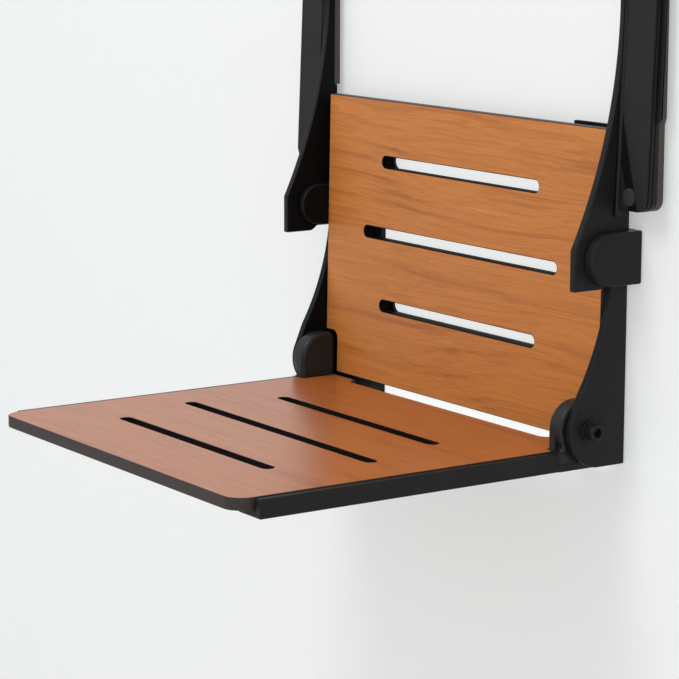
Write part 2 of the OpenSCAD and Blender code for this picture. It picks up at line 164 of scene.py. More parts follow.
def makeBoardMaterial(name, seed, boardFinish):
    material, tree, shader, where = newMaterial(name)
    grain = addNode(tree, "ShaderNodeGroup", node_tree=grainGroup)
    tree.links.new(where, grain.inputs["Vector"])
    grain.inputs["Wave"].default_value = boardFinish["wave"]
    grain.inputs["Seed"].default_value = seed
    tone = addRamp(tree, grain.outputs["Tone"], [
        (0.28, boardFinish["dark"]), (0.47, boardFinish["middle"]), (0.62, boardFinish["middle"]),
        (0.80, boardFinish["light"])])
    streak = addRamp(tree, grain.outputs["Streak"], [(0.30, (0.80, 0.76, 0.72)), (0.55, (1.0, 1.0, 1.0)),
                                                     (0.8, (1.1, 1.08, 1.05))])
    mixed = addNode(tree, "ShaderNodeMix", [(0, 1.0), (6, tone.outputs["Color"]),
                                            (7, streak.outputs["Color"])],
                    data_type="RGBA", blend_type="MULTIPLY")
    pore = addRamp(tree, grain.outputs["Pore"], [(0.26, (0.72, 0.66, 0.6)), (0.36, (1.0, 1.0, 1.0))])
    poreMix = addNode(tree, "ShaderNodeMix", [(0, 0.45), (6, mixed.outputs[2]), (7, pore.outputs["Color"])],
                      data_type="RGBA", blend_type="MULTIPLY")
    tree.links.new(poreMix.outputs[2], shader.inputs["Base Color"])
    rough = addNode(tree, "ShaderNodeMapRange", [("Value", grain.outputs["Streak"]),
                                                 ("To Min", boardFinish["roughness"] + 0.07),
                                                 ("To Max", boardFinish["roughness"] - 0.05)])
    tree.links.new(rough.outputs[0], shader.inputs["Roughness"])
    bump = addNode(tree, "ShaderNodeBump", [("Height", grain.outputs["Streak"]),
                                            ("Strength", boardFinish["bump"]), ("Distance", 0.0004)])
    tree.links.new(bump.outputs[0], shader.inputs["Normal"])
    shader.inputs["Specular IOR Level"].default_value = boardFinish["gloss"]
    return material


def makeSpeckMaterial(name, finish):
    # every coated, moulded or plain metal surface is one of these, with its own values
    material, tree, shader, where = newMaterial(name)
    speck = addNode(tree, "ShaderNodeGroup", node_tree=speckGroup)
    tree.links.new(where, speck.inputs["Vector"])
    speck.inputs["Size"].default_value = finish["grain"]
    low, high = finish["color"], tuple(c * finish["spread"] for c in finish["color"])
    color = addRamp(tree, speck.outputs["Cloud"], [(0.35, low), (0.65, high)])
    tree.links.new(color.outputs["Color"], shader.inputs["Base Color"])
    rough = addNode(tree, "ShaderNodeMapRange", [("Value", speck.outputs["Cloud"]), ("From Min", 0.3),
                                                 ("From Max", 0.7), ("To Min", finish["roughness"] - 0.04),
                                                 ("To Max", finish["roughness"] + 0.05)])
    tree.links.new(rough.outputs[0], shader.inputs["Roughness"])
    bump = addNode(tree, "ShaderNodeBump", [("Height", speck.outputs["Peel"]), ("Strength", finish["bump"]),
                                            ("Distance", 0.0003)])
    tree.links.new(bump.outputs[0], shader.inputs["Normal"])
    shader.inputs["Metallic"].default_value = finish["metallic"]
    shader.inputs["Specular IOR Level"].default_value = finish["gloss"]
    return material


coatFinish = {"color": (0.0120, 0.0121, 0.0124), "spread": 1.2, "roughness": 0.42, "gloss": 0.11,
              "metallic": 0.0, "grain": 1100.0, "bump": 0.16}
plasticFinish = {"color": (0.0125, 0.0125, 0.0128), "spread": 1.2, "roughness": 0.40, "gloss": 0.12,
                 "metallic": 0.0, "grain": 1500.0, "bump": 0.10}
padFinish = {"color": (0.048, 0.039, 0.034), "spread": 1.3, "roughness": 0.62, "gloss": 0.25,
             "metallic": 0.0, "grain": 800.0, "bump": 0.25}
coreFinish = {"color": (0.020, 0.014, 0.012), "spread": 1.5, "roughness": 0.48, "gloss": 0.28,
              "metallic": 0.0, "grain": 500.0, "bump": 0.15}
# painted shade: a deeper black than the coat, for faces that sit in shade
paintedShadeFinish = {"color": (0.0040, 0.0042, 0.0046), "spread": 1.2, "roughness": 0.50, "gloss": 0.05,
              "metallic": 0.0, "grain": 1100.0, "bump": 0.16}
# painted shade: a darker slate for the narrow edges, which would otherwise catch the light
edgeShadeFinish = {"color": (0.0070, 0.0085, 0.0098), "spread": 1.2, "roughness": 0.42, "gloss": 0.08,
              "metallic": 0.0, "grain": 1100.0, "bump": 0.12}
earFinish = {"color": (0.0110, 0.0122, 0.0130), "spread": 1.2, "roughness": 0.36, "gloss": 0.24,
             "metallic": 0.0, "grain": 1300.0, "bump": 0.10}
capFinish = {"color": (0.0240, 0.0240, 0.0245), "spread": 1.2, "roughness": 0.45, "gloss": 0.12,
             "metallic": 0.0, "grain": 1500.0, "bump": 0.10}
boltFinish = {"color": (0.0095, 0.0095, 0.0098), "spread": 1.3, "roughness": 0.34, "gloss": 0.16,
              "metallic": 0.0, "grain": 1400.0, "bump": 0.10}
# painted shade: the board's core, made near black where it lines the slots
slotShadeFinish = {"color": (0.0022, 0.0018, 0.0016), "spread": 1.6, "roughness": 0.6, "gloss": 0.05,
              "metallic": 0.0, "grain": 600.0, "bump": 0.1}
steelFinish = {"color": (0.42, 0.42, 0.41), "spread": 1.2, "roughness": 0.30, "gloss": 0.5, "metallic": 1.0,
               "grain": 2000.0, "bump": 0.06}
bushFinish = {"color": (0.62, 0.60, 0.54), "spread": 1.1, "roughness": 0.45, "gloss": 0.4, "metallic": 0.0,
              "grain": 900.0, "bump": 0.08}

seatWood = makeBoardMaterial("seatBoardFace", 3.1, seatWoodShadedFinish)
backWood = makeBoardMaterial("backBoardFace", 7.4, backWoodLitFinish)
slotShadeCore = makeSpeckMaterial("slotShadeCore", slotShadeFinish)
boardCore = makeSpeckMaterial("boardCore", coreFinish)
blackCoat = makeSpeckMaterial("blackCoat", coatFinish)
paintedShadeCoat = makeSpeckMaterial("paintedShadeCoat", paintedShadeFinish)
edgeShadeCoat = makeSpeckMaterial("edgeShadeCoat", edgeShadeFinish)
earCoat = makeSpeckMaterial("earCoat", earFinish)
capPlastic = makeSpeckMaterial("capPlastic", capFinish)
blackPlastic = makeSpeckMaterial("blackPlastic", plasticFinish)
padRubber = makeSpeckMaterial("padRubber", padFinish)
boltBlack = makeSpeckMaterial("boltBlack", boltFinish)
plainSteel = makeSpeckMaterial("plainSteel", steelFinish)
bushPlastic = makeSpeckMaterial("bushPlastic", bushFinish)
print("materials ready")

# shaping

sideOn = Matrix(((0, 0, 1, 0), (1, 0, 0, 0), (0, 1, 0, 0), (0, 0, 0, 1)))  # in (y, z), depth along +X
frontOn = Matrix(((1, 0, 0, 0), (0, 0, -1, 0), (0, 1, 0, 0), (0, 0, 0, 1)))  # in (x, z), depth along -Y
topOn = Matrix.Identity(4)  # in (x, y), depth along +Z
sharp = math.radians(25)  # edges that turn more than this are rounded


def drawOutline(bm, start, moves, step=2.0):
    # a move is a point to go to, or (centre, centre, degrees) to turn round
    first = last = bm.verts.new((*start, 0.0))
    edges = []
    for move in moves:
        if len(move) == 2:
            fresh = bm.verts.new((*move, 0.0))
            edges.append(bm.edges.new((last, fresh)))
            last = fresh
            continue
        centre = Vector((move[0], move[1], 0.0))
        angle = math.radians(move[2])
        count = max(3, int((last.co - centre).length * abs(angle) / step))
        turned = bmesh.ops.spin(bm, geom=[last], cent=centre, axis=(0, 0, 1), dvec=(0, 0, 0), angle=angle,
                                steps=count)
        last = turned["geom_last"][0]
    if (last.co - first.co).length < 0.02:
        bmesh.ops.pointmerge(bm, verts=[first, last], merge_co=first.co.copy())
    else:
        bm.edges.new((last, first))


def rectangle(x0, x1, y0, y1):
    return [((x0, y0), [(x1, y0), (x1, y1), (x0, y1)])]


def slab(outlines, low, high, turn, edge=1.0, segments=3):
    # outlines that share edges become one flat face set, which is then given its depth
    bm = bmesh.new()
    for start, moves in outlines:
        piece = bmesh.new()
        drawOutline(piece, start, moves)
        bmesh.ops.contextual_create(piece, geom=piece.edges[:])
        mesh = bpy.data.meshes.new("outline")
        piece.to_mesh(mesh)
        bm.from_mesh(mesh)
        piece.free()
        bpy.data.meshes.remove(mesh)
    bmesh.ops.remove_doubles(bm, verts=bm.verts, dist=0.02)
    bmesh.ops.recalc_face_normals(bm, faces=bm.faces)
    grown = bmesh.ops.extrude_face_region(bm, geom=bm.faces[:], use_keep_orig=True)
    top = [g for g in grown["geom"] if isinstance(g, bmesh.types.BMVert)]
    bmesh.ops.translate(bm, verts=bm.verts, vec=(0, 0, low))
    bmesh.ops.translate(bm, verts=top, vec=(0, 0, high - low))
    bmesh.ops.recalc_face_normals(bm, faces=bm.faces)
    if edge > 0:
        roundEdges(bm, edge, segments)
    bmesh.ops.transform(bm, matrix=turn, verts=bm.verts)
    return bm


def bevelEdges(bm, edges, edge, segments, clamp=True):
    bmesh.ops.bevel(bm, geom=edges, offset=edge, offset_type="OFFSET", segments=segments, profile=0.5,
                    affect="EDGES", clamp_overlap=clamp, material=-1)


def roundEdges(bm, edge, segments=3, limit=sharp):
    edges = [e for e in bm.edges if len(e.link_faces) == 2 and e.calc_face_angle(0.0) > limit]
    bevelEdges(bm, edges, edge, segments)


def joinInto(bm, other):
    mesh = bpy.data.meshes.new("part")
    other.to_mesh(mesh)
    bm.from_mesh(mesh)
    other.free()
    bpy.data.meshes.remove(mesh)


def turnedPart(profile, axisPoint, steps=48):
    # a closed round part: its (x, radius) profile spun about the X axis through axisPoint
    bm = bmesh.new()
    last = None
    for x, r in profile:
        fresh = bm.verts.new((x, r, 0.0))
        if last:
            bm.edges.new((last, fresh))
        last = fresh
    bmesh.ops.spin(bm, geom=bm.verts[:] + bm.edges[:], cent=(0, 0, 0), axis=(1, 0, 0), dvec=(0, 0, 0),
                   angle=math.tau, steps=steps, use_merge=True)
    bmesh.ops.remove_doubles(bm, verts=bm.verts, dist=0.001)
    bmesh.ops.recalc_face_normals(bm, faces=bm.faces)
    bmesh.ops.translate(bm, verts=bm.verts, vec=(0, axisPoint[0], axisPoint[1]))
    return bm


def finishPiece(name, bm, materials, body, nodes, paint=None):
    bmesh.ops.transform(bm, matrix=Matrix.Translation((0, 0, seatZ)), verts=bm.verts)
    bmesh.ops.scale(bm, verts=bm.verts, vec=(mm, mm, mm))
    mesh = bpy.data.meshes.new(name)
    if paint:
        for face in bm.faces:
            face.material_index = paint(face)
    for face in bm.faces:
        face.smooth = True
    bm.to_mesh(mesh)
    bm.free()
    mesh.set_sharp_from_angle(angle=math.radians(38))
    piece = bpy.data.objects.new(name, mesh)
    bpy.context.scene.collection.objects.link(piece)
    for material in materials:
        mesh.materials.append(material)
    weighted = piece.modifiers.new("weighted", "WEIGHTED_NORMAL")
    weighted.keep_sharp = True
    weighted.weight = 80
    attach(piece, body)
    if nodes:
        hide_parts(*nodes)
    return piece


def bothSides(name, build, materials, bodies, nodes, paint=None):
    # build() draws the right-hand part; the left-hand one is its mirror image
    for side, body in zip(("right", "left"), bodies):
        bm = build()
        if side == "left":
            bmesh.ops.scale(bm, verts=bm.verts, vec=(-1, 1, 1))
            bmesh.ops.reverse_faces(bm, faces=bm.faces)
        finishPiece(name + side.capitalize(), bm, materials, body, [n + "_" + side for n in nodes],
                    paint)


wallBodies = ("wall_frame", "wall_frame")
seatBodies = ("seat", "seat")
armBodies = ("arm_right", "arm_left")

# seat

seatBoard = {"halfWidth": 227.5, "front": -438.0, "thickness": 12.0, "frontCorner": 20.0, "rearCorner": 4.0,
             "earFront": -73.3, "tongue": 215.8, "rear": -30.0, "cutHalf": 163.4, "cutDeep": 11.6,
             "slots": ((-343.0, 280.0), (-247.0, 342.0), (-151.0, 280.0)), "slotWidth": 12.4, "edge": 0.9}


def slotHalf(length, middle, width, upper):
    # the moves along one half of a slot, from its left tip to its right tip or back
    r = width / 2
    x = length / 2 - r
    if upper:
        return [(-x, middle, -90), (x, middle + r), (x, middle, -90)]
    return [(x, middle, -90), (-x, middle - r), (-x, middle, -90)]


def boardStrips(half, low, high, slots, width, bottomMoves, topMoves):
    # strips between the slots' middle lines; the first and last take their own end moves
    strips = []
    levels = [None] + [list(s) for s in slots] + [None]
    for below, above in zip(levels[:-1], levels[1:]):
        if below is None:
            start, moves = bottomMoves[0], list(bottomMoves[1])
        else:
            start = (-half, below[0])
            upperHalf = slotHalf(below[1], below[0], width, True)
            moves = [(-below[1] / 2, below[0])] + upperHalf + [(half, below[0])]
        if above is None:
            moves += topMoves
        else:
            lowerHalf = slotHalf(above[1], above[0], width, False)
            moves += [(half, above[0]), (above[1] / 2, above[0])] + lowerHalf + [(-half, above[0])]
        strips.append((start, moves))
    return strips


def buildSeatBoard():
    s = seatBoard
    w, r, q = s["halfWidth"], s["frontCorner"], s["rearCorner"]
    edgeY = s["front"] + r
    front = ((-w, edgeY), [(-w + r, edgeY, 90), (w - r, s["front"]), (w - r, edgeY, 90)])
    rear = [(w, s["earFront"] - q), (w - q, s["earFront"] - q, 90), (s["tongue"], s["earFront"]),
            (s["tongue"], s["rear"]), (s["cutHalf"] + s["cutDeep"], s["rear"]),
            (s["cutHalf"], s["rear"], -90),
            (-s["cutHalf"], s["rear"] - s["cutDeep"]), (-s["cutHalf"], s["rear"], -90),
            (-s["tongue"], s["rear"]), (-s["tongue"], s["earFront"]), (-w + q, s["earFront"]),
            (-w + q, s["earFront"] - q, 90)]
    strips = boardStrips(w, s["front"], s["rear"], s["slots"], s["slotWidth"], front, rear)
    return slab(strips, -s["thickness"], 0.0, topOn, s["edge"], 2)


def boardPaint(axis, slots, along):
    # wood where a face looks along the board's normal, painted shade (a near-black copy of the core) on the
    # walls in the slots, core round the rim
    def paint(face):
        if abs(face.normal.dot(axis)) > 0.96:
            return 0
        centre = face.calc_center_median() / mm
        inSlot = any(abs(centre[along] - (seatZ if along == 2 else 0.0) - place) < 8.5
                     and abs(centre.x) < length / 2 + 1
                     for place, length in slots)
        return 2 if inSlot else 1
    return paint


finishPiece("seatBoard", buildSeatBoard(), [seatWood, boardCore, slotShadeCore], "seat", ["seat_panel"],
            boardPaint(Vector((0, 0, 1)), seatBoard["slots"], 1))

seatFrame = {"wallIn": 227.8, "out": 236.1, "legIn": 198.1, "top": -1.0, "legTop": -12.3, "bottom": -19.7,
             "front": -416.0, "wallRear": -73.4, "legRear": -32.3, "edge": 1.3,
             "barWidth": 30.0, "bars": (-398.0, -106.0)}


def buildRail():
    s = seatFrame
    bm = bmesh.new()
    corners = {}
    for x in (s["legIn"], s["wallIn"], s["out"]):
        for z in (s["bottom"], s["legTop"], s["top"]):
            if z < s["top"] or x > s["legIn"]:
                corners[x, z] = bm.verts.new((x, s["front"], z))
    quads = [((s["legIn"], s["wallIn"]), (s["bottom"], s["legTop"])),
             ((s["wallIn"], s["out"]), (s["bottom"], s["legTop"])),
             ((s["wallIn"], s["out"]), (s["legTop"], s["top"]))]
    for (xa, xb), (za, zb) in quads:
        bm.faces.new([corners[xa, za], corners[xb, za], corners[xb, zb], corners[xa, zb]])
    grown = bmesh.ops.extrude_face_region(bm, geom=bm.faces[:], use_keep_orig=True)
    ends = [g for g in grown["geom"] if isinstance(g, bmesh.types.BMVert)]
    bmesh.ops.translate(bm, verts=ends, vec=(0, s["wallRear"] - s["front"], 0))
    legEnds = [g for g in grown["geom"] if isinstance(g, bmesh.types.BMFace)
               and g.calc_center_median().z < s["legTop"]]
    more = bmesh.ops.extrude_face_region(bm, geom=legEnds)
    bmesh.ops.translate(bm, verts=[g for g in more["geom"] if isinstance(g, bmesh.types.BMVert)],
                        vec=(0, s["legRear"] - s["wallRear"], 0))
    bmesh.ops.dissolve_limit(bm, angle_limit=math.radians(1), verts=bm.verts, edges=bm.edges)
    bmesh.ops.recalc_face_normals(bm, faces=bm.faces)
    ahead = [e for e in bm.edges if e.calc_face_angle(0.0) > sharp
             and any(v.co.y < s["wallRear"] - 1 for v in e.verts)]
    bevelEdges(bm, ahead, s["edge"], 3)
    return bm


bothSides("seatRail", buildRail, [blackCoat], seatBodies, ["seat_rail"])


def buildBar(y):
    s = seatFrame
    half = s["legIn"] - 0.1
    return slab(rectangle(-half, half, s["bottom"], s["legTop"]), -(y + s["barWidth"]), -y, frontOn, 1.0)


finishPiece("crossBarFront", buildBar(seatFrame["bars"][0]), [blackCoat], "seat", ["cross_bar_front"])
finishPiece("crossBarRear", buildBar(seatFrame["bars"][1]), [blackCoat], "seat", ["cross_bar_rear"])

hingeEar = {"in": 216.1, "split": 227.9, "out": 236.1, "axis": (-45.0, 20.0), "radius": 28.0,
            "back": -29.4, "low": -12.0, "legRear": -32.3, "railTop": -1.0, "fillet": 5.0,
            "backCorner": 9.0, "innerEdge": 5.0, "outerEdge": 3.0}


def buildEar():
    # a block with an upright front on the inside, and a round lobe that runs into the rail on the outside
    s = hingeEar
    y, z = s["axis"]
    r, f, c = s["radius"], s["fillet"], s["backCorner"]
    rear = [(s["back"], z + r - c), (s["back"], -0.2), (s["legRear"], -0.2), (s["legRear"], s["low"])]
    top = [(s["back"] - c, z + r), (s["back"] - c, z + r - c, -90)]
    bm = slab([((y - r, s["low"]), [(y - r, s["railTop"] + 0.6), (y - r, z), (y, z, -90)] + top + rear)],
              s["in"], s["split"] + 0.1, sideOn, 0)
    softenEar(bm, s["innerEdge"], s["in"])
    tilt = math.degrees(math.asin((z - s["railTop"] - f) / (r + f)))
    footY = y - (r + f) * math.cos(math.radians(tilt))
    lobe = [(footY, s["railTop"]), (footY, s["railTop"] + f, 90 + tilt), (y, z, -90 - tilt)]
    outer = slab([((footY, s["low"]), lobe + top + rear)], s["split"] - 0.1, s["out"], sideOn, 0)
    softenEar(outer, s["outerEdge"], s["out"])
    joinInto(bm, outer)
    return bm


def softenEar(bm, edge, sideX):
    # rounds the ear's rim on one of its two side faces, above the rail
    rim = [e for e in bm.edges if min(v.co.z for v in e.verts) > hingeEar["railTop"] + 0.4
           and e.calc_face_angle(0.0) > sharp and all(abs(v.co.x - sideX) < 0.01 for v in e.verts)]
    bevelEdges(bm, rim, edge, 6, False)


bothSides("hingeEar", buildEar, [earCoat], seatBodies, ["hinge_ear"])
print("seat built")

# wall brackets

sidePlate = {"in": 237.6, "out": 245.6, "lobe": (-32.0, 18.0), "lobeRadius": 36.0, "lobeTilt": 26.0,
             "upright": -18.0, "sweepRise": 194.0, "sweepRadius": 275.0, "sweepAngle": 30.0, "top": 300.0,
             "edge": 1.3, "boss": (-36.3, 188.7), "bossRadius": 22.0}


def bracketPaint(face):
    # painted shade: a deeper black on the faces that look at the seat, and a darker slate on the narrow
    # edges
    inward = -face.normal.x if face.calc_center_median().x > 0 else face.normal.x
    return 1 if inward > 0.95 else 2 if abs(face.normal.x) < 0.2 else 0


def buildSidePlate():
    s = sidePlate
    ly, lz = s["lobe"]
    r, tilt = s["lobeRadius"], math.radians(s["lobeTilt"])
    moves = [(0, s["top"]), (s["upright"], s["top"]), (s["upright"], s["sweepRise"]),
             (s["upright"] - s["sweepRadius"], s["sweepRise"], -s["sweepAngle"]),
             (ly - r * math.cos(tilt), lz + r * math.sin(tilt)), (ly, lz, 90 + s["lobeTilt"])]
    bm = slab([((0, lz - r), moves)], s["in"], s["out"], sideOn, s["edge"])
    by, bz = s["boss"]
    root, b = s["upright"] + 2, s["bossRadius"]
    boss = [(root, bz - b), (root, bz + b), (by, bz + b), (by, bz, 180)]
    joinInto(bm, slab([((by, bz - b), boss)], s["in"] + 0.02, s["out"] - 0.02, sideOn, s["edge"]))
    return bm


bothSides("sidePlate", buildSidePlate, [blackCoat, paintedShadeCoat, edgeShadeCoat], wallBodies, ["side_plate"],
          bracketPaint)

topTab = {"in": 166.0, "out": 237.4, "low": 300.0, "high": 313.0, "depth": 6.0}
tab = slab(rectangle(topTab["in"], topTab["out"], topTab["low"], topTab["high"]), 0, topTab["depth"],
           frontOn, 0.8)
# painted shade: the top tab is all in the deeper black of the shade coat
finishPiece("topTab", tab, [paintedShadeCoat], "wall_frame", ["top_tab"])

hingeBolt = {"axis": (-45.0, 20.0), "start": 220.1, "seat": 248.8, "headHeight": 10.4, "headRadius": 8.5,
             "shank": 5.0, "socket": 5.1, "socketDeep": 5.8, "plateFace": 245.6, "washerRadius": 10.5}


def buildHingeBolt():
    s = hingeBolt
    top = s["seat"] + s["headHeight"]
    r = s["headRadius"]
    rim = s["socket"] + 0.9
    profile = [(s["start"], 0), (s["start"], s["shank"]), (s["seat"], s["shank"]), (s["seat"], r - 0.3),
               (s["seat"] + 0.4, r), (top - 1.1, r), (top - 0.3, r - 0.5), (top, r - 1.4), (top, rim)]
    bm = turnedPart(profile, (0.0, 0.0), 48)
    ring = [e for e in bm.edges if len(e.link_faces) == 1]
    mouth = Matrix.Translation((top - 0.5, 0, 0)) @ Matrix.Rotation(math.pi / 2, 4, "Y")
    hexa = bmesh.ops.create_circle(bm, cap_ends=False, radius=s["socket"], segments=6, matrix=mouth)
    hexEdges = list({e for v in hexa["verts"] for e in v.link_edges})
    bmesh.ops.bridge_loops(bm, edges=ring + hexEdges)
    sunk = bmesh.ops.extrude_edge_only(bm, edges=hexEdges)
    low = [g for g in sunk["geom"] if isinstance(g, bmesh.types.BMVert)]
    bmesh.ops.translate(bm, verts=low, vec=(0.5 - s["socketDeep"], 0, 0))
    bmesh.ops.contextual_create(bm, geom=[g for g in sunk["geom"] if isinstance(g, bmesh.types.BMEdge)])
    bmesh.ops.recalc_face_normals(bm, faces=bm.faces)
    bmesh.ops.translate(bm, verts=bm.verts, vec=(0, s["axis"][0], s["axis"][1]))
    return bm


bothSides("hingeBolt", buildHingeBolt, [boltBlack], wallBodies, ["hinge_bolt"])


def buildHeadWasher():
    s = hingeBolt
    a, b, r = s["plateFace"], s["seat"], s["washerRadius"]
    return turnedPart([(a, s["shank"]), (a, r - 0.2), (a + 0.3, r), (b - 0.8, r), (b - 0.2, r - 0.3),
                       (b, r - 0.9), (b, s["shank"]), (a, s["shank"])], s["axis"], 56)


bothSides("headWasher", buildHeadWasher, [boltBlack], wallBodies, ["head_washer"])

housing = {"in": 254.6, "out": 266.0, "axis": (-36.3, 188.7), "radius": 26.0, "edge": 1.8, "footIn": 245.7,
           "footDeep": 6.0}


def buildHousing():
    s = housing
    y, z = s["axis"]
    r = s["radius"]
    bm = slab([((0, z - r), [(0, z + r), (y, z + r), (y, z, 180)])], s["in"], s["out"], sideOn, s["edge"],
              4)
    joinInto(bm, slab([((-s["footDeep"], z - r), [(0, z - r), (0, z + r), (-s["footDeep"], z + r)])],
                      s["footIn"], s["in"] + 0.1, sideOn, 0.6))
    return bm


bothSides("pivotHousing", buildHousing, [blackCoat], wallBodies, ["pivot_housing"])
print("brackets built")

# backrest

backBoard = {"half": 237.0, "low": 3.0, "high": 311.0, "face": -28.5, "lean": 1.04, "thickness": 12.0,
             "notchIn": 215.5, "notchTop": 48.6, "notchCorner": 8.0,
             "slots": ((89.0, 270.0), (167.0, 334.0), (245.0, 270.0)), "slotWidth": 12.4, "edge": 0.9}


def buildBackBoard():
    s = backBoard
    w, n = s["half"], s["notchIn"]
    c, t = s["notchCorner"], s["notchTop"]
    low = ((-w, t), [(-n - c, t), (-n - c, t - c, -90), (-n, s["low"]), (n, s["low"]), (n, t - c),
                     (n + c, t - c, -90), (w, t)])
    high = [(w, s["high"]), (-w, s["high"])]
    strips = boardStrips(w, s["low"], s["high"], s["slots"], s["slotWidth"], low, high)
    bm = slab(strips, -s["thickness"], 0.0, frontOn, s["edge"], 2)
    lean = Matrix.Translation((0, s["face"], 0)) @ Matrix.Rotation(math.radians(-s["lean"]), 4, "X")
    bmesh.ops.transform(bm, matrix=lean, verts=bm.verts)
    return bm


finishPiece("backBoard", buildBackBoard(), [backWood, boardCore, slotShadeCore], "wall_frame", ["back_panel"],
            boardPaint(Vector((0, 1, 0)), backBoard["slots"], 2))
print("backrest built")

# arms

armShape = {"webIn": 246.4, "webOut": 254.2, "axis": (-36.3, 188.7), "webFront": -73.6, "webFoot": 158.8,
            "reach": 29.7, "heelRise": 6.7,
            "heel": ((-6.5, 0.0), (-3.8, 0.5), (-1.2, 1.9), (1.2, 3.9), (3.6, 5.7), (6.5, 6.7)),
            "sweepRadius": 535.0, "runOut": 436.0, "low": 236.0, "top": 530.0, "face": -25.8, "taper": 2.2,
            "plateWidth": 44.5, "plateThick": 1.8, "groove": 1.3, "grooveDeep": 1.5, "lipThick": 3.6,
            "stepWidth": 5.2, "padStep": 2.4, "padLow": -11.6, "stepRise": 320.0, "padFront": -9.8,
            "padBack": -3.1, "corner": 12.0, "edge": 1.6, "capRadius": 8.8, "capHeight": 1.3,
            "capRise": 249.0, "capX": 273.7, "bead": 3.2, "wedgeX": 33.0, "wedgeZ": 108.0, "wedgeDeep": 4.2}


def armFaceY(z):
    return armShape["face"] + (z - armShape["low"]) * math.tan(math.radians(armShape["taper"]))


def buildArmWeb():
    s = armShape
    y, z = s["axis"]
    foot, reach = s["webFoot"], s["reach"]
    runY = armFaceY(s["runOut"])
    drop = runY - s["webFront"]
    sweepAngle = math.degrees(math.acos((s["sweepRadius"] - drop) / s["sweepRadius"]))
    lowEdge = math.degrees(math.asin((z - foot - s["heelRise"]) / reach))
    coreY = s["padFront"]
    moves = [(armFaceY(s["top"]), s["top"]), (runY, s["runOut"]),
             (runY - s["sweepRadius"], s["runOut"], -sweepAngle), (s["webFront"], foot)]
    moves += [(y + dy, foot + dz) for dy, dz in s["heel"]]
    moves += [(y + reach * math.cos(math.radians(lowEdge)), foot + s["heelRise"]), (y, z, lowEdge),
              (y + reach, s["stepRise"]), (coreY, s["stepRise"])]
    return slab([((coreY, s["top"]), moves)], s["webIn"], s["webOut"], sideOn, s["edge"], 4)


# painted shade: the web's face towards the seat takes the deeper black of the shade coat
bothSides("armWeb", buildArmWeb, [blackCoat, paintedShadeCoat, blackCoat], armBodies, ["arm_web"],
          bracketPaint)


def onArmFace(bm):
    # from flat drawing, with its low end at zero and its face at y = 0, to the arm's tapering face
    s = armShape
    turn = Matrix.Translation((0, s["face"], s["low"])) @ Matrix.Rotation(math.radians(-s["taper"]), 4, "X")
    bmesh.ops.transform(bm, matrix=turn, verts=bm.verts)
    return bm


def armOutline(x0, x1, z0, z1, r):
    return [((x0, z0), [(x1 - r, z0), (x1 - r, z0 + r, 90), (x1, z1 - r), (x1 - r, z1 - r, 90), (x0, z1)])]


def buildArmPlate():
    # the face plate and the lip behind it, with a groove between them
    s = armShape
    length = (s["top"] - s["low"]) / math.cos(math.radians(s["taper"]))
    x0, x1 = s["webOut"], s["webOut"] + s["plateWidth"]
    t, g, lip = s["plateThick"], s["groove"], s["lipThick"]
    bm = slab(armOutline(x0, x1, 0, length, s["corner"]), -t, 0, frontOn, 0)
    sinkWedge(bm, x0)
    roundEdges(bm, 0.9, 3)
    joinInto(bm, slab(armOutline(x0, x1 - s["grooveDeep"], s["grooveDeep"], length - s["grooveDeep"],
                                 s["corner"] - 1), -t - g - 0.1, -t + 0.1, frontOn, 0))
    joinInto(bm, slab(armOutline(x0, x1 + 0.1, 0, length, s["corner"]), -t - g - lip, -t - g, frontOn, 0.8))
    onArmFace(bm)
    bead = turnedPart([(-8.0, 0), (-7.4, 1.6), (-6.0, s["bead"] - 0.4), (-4.0, s["bead"]),
                       (length - 1.0, s["bead"]), (length, 0)], (0, 0), 28)
    stand = Matrix.Rotation(math.radians(-90), 3, "Y")
    bmesh.ops.rotate(bead, verts=bead.verts, cent=(0, 0, 0), matrix=stand)
    bmesh.ops.translate(bead, verts=bead.verts, vec=(x0 + 1.6, 1.3, 0))
    joinInto(bm, onArmFace(bead))
    return bm


def sinkWedge(bm, x0):
    # a shallow facet that starts at the bead and widens towards the arm's lower end
    s = armShape
    low, high = Vector((x0 + s["wedgeX"], 0, 0)), Vector((x0, 0, s["wedgeZ"]))
    normal = (high - low).cross(Vector((0, 1, 0)))
    cut = bmesh.ops.bisect_plane(bm, geom=bm.verts[:] + bm.edges[:] + bm.faces[:], plane_co=low,
                                 plane_no=normal, dist=0.0001)
    crease = [g for g in cut["geom_cut"] if isinstance(g, bmesh.types.BMEdge)
              and all(abs(v.co.y) < 0.001 for v in g.verts)]
    for vert in bm.verts:
        if vert.co.x < x0 + 0.01 and vert.co.z < 0.01 and vert.co.y < 0.001:
            vert.co.y += s["wedgeDeep"] - 0.4
    bevelEdges(bm, crease, 1.2, 3)


def armPaint(face):
    # painted shade: the sunk facet gets the deeper black of the shade coat, darker than the rest of the
    # face
    return 1 if face.normal.y < -0.9 and abs(face.normal.x) > 0.05 else 0


bothSides("armPlate", buildArmPlate, [blackPlastic, paintedShadeCoat], armBodies, ["arm_plate"],
          armPaint)


def steppedOutline(x0, lowerX0, x1, trim, width):
    # the arm's outline, with its upper part standing out further than its lower part
    s = armShape
    r, z0, z1, out, step = s["corner"], s["low"] + trim, s["top"] - trim, x1 - trim, s["stepRise"]
    wide = out + width
    moves = [(out - r, z0), (out - r, z0 + r, 90), (out, step - 1.5), (wide - 1.2, step + 2.2),
             (wide, step + 5.0), (wide, z1 - r), (wide - r, z1 - r, 90), (x0, z1)]
    if x0 < lowerX0:
        moves += [(x0, step), (lowerX0, step)]
    return [((lowerX0, z0), moves)]


def padFrontY(z):
    # the pad is thickest at the arm's lower end
    s = armShape
    return s["padLow"] + (s["padFront"] - s["padLow"]) * (z - s["low"]) / (s["top"] - s["low"])


